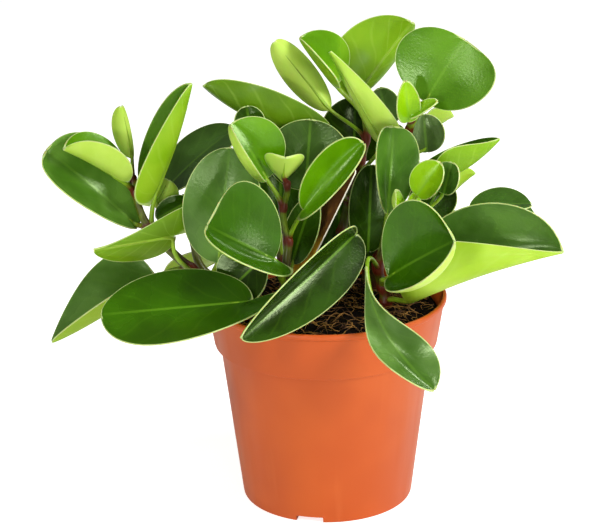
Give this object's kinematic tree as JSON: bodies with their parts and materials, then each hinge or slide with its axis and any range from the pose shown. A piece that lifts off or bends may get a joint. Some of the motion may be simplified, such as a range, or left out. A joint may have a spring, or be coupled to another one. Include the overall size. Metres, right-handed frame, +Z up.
{
  "type": "potted peperomia",
  "caption": "Bushy potted peperomia with thick oval leaves on branching stems, in a round plastic nursery pot filled with soil.",
  "frame": {"origin": "middle of the flat central foot under the pot, on the plane that the pot stands on", "axes": "+Z up along the pot's axis, +Y away from the camera of the picture, +X to its right"},
  "size_m": [0.2487, 0.198, 0.2341],
  "materials": {
    "pot": "satin moulded plastic in terracotta orange",
    "soil": "rough dark peat with light brown fibres",
    "label": "thin printed card, bare of text",
    "stem": "smooth red-brown to green skin",
    "leaf": "glossy dark green above, pale green below"
  },
  "bodies": {
    "root": {"leaf_back_left_1": "leaf", "leaf_back_left_2": "leaf", "leaf_back_left_3": "leaf", "leaf_back_left_4": "leaf", "leaf_back_left_5": "leaf", "leaf_back_left_6": "leaf", "leaf_back_right_1": "leaf", "leaf_back_right_2": "leaf", "leaf_back_right_3": "leaf", "leaf_back_right_4": "leaf", "leaf_back_right_5": "leaf", "leaf_back_right_6": "leaf", "leaf_centre_1": "leaf", "leaf_centre_2": "leaf", "leaf_centre_3": "leaf", "leaf_centre_4": "leaf", "leaf_centre_5": "leaf", "leaf_centre_6": "leaf", "leaf_crown_1": "leaf", "leaf_crown_10": "leaf", "leaf_crown_2": "leaf", "leaf_crown_3": "leaf", "leaf_crown_4": "leaf", "leaf_crown_5": "leaf", "leaf_crown_6": "leaf", "leaf_crown_7": "leaf", "leaf_crown_8": "leaf", "leaf_crown_9": "leaf", "leaf_left_1": "leaf", "leaf_left_2": "leaf", "leaf_left_3": "leaf", "leaf_left_4": "leaf", "leaf_left_5": "leaf", "leaf_left_inner_1": "leaf", "leaf_left_inner_2": "leaf", "leaf_left_inner_3": "leaf", "leaf_right_1": "leaf", "leaf_right_2": "leaf", "leaf_right_3": "leaf", "leaf_right_4": "leaf", "leaf_right_5": "leaf", "leaf_upper_right_1": "leaf", "leaf_upper_right_2": "leaf", "leaf_upper_right_3": "leaf", "leaf_upper_right_4": "leaf", "leaf_upper_right_5": "leaf", "leaf_upper_right_6": "leaf", "leaf_upper_right_7": "leaf", "leaf_upper_right_8": "leaf", "plant_label": "label", "pot": "pot", "soil": "soil", "stem_back_left": "stem", "stem_back_right": "stem", "stem_centre": "stem", "stem_crown": "stem", "stem_left": "stem", "stem_left_inner": "stem", "stem_right": "stem", "stem_upper_right": "stem"}
  },
  "joints": []
}
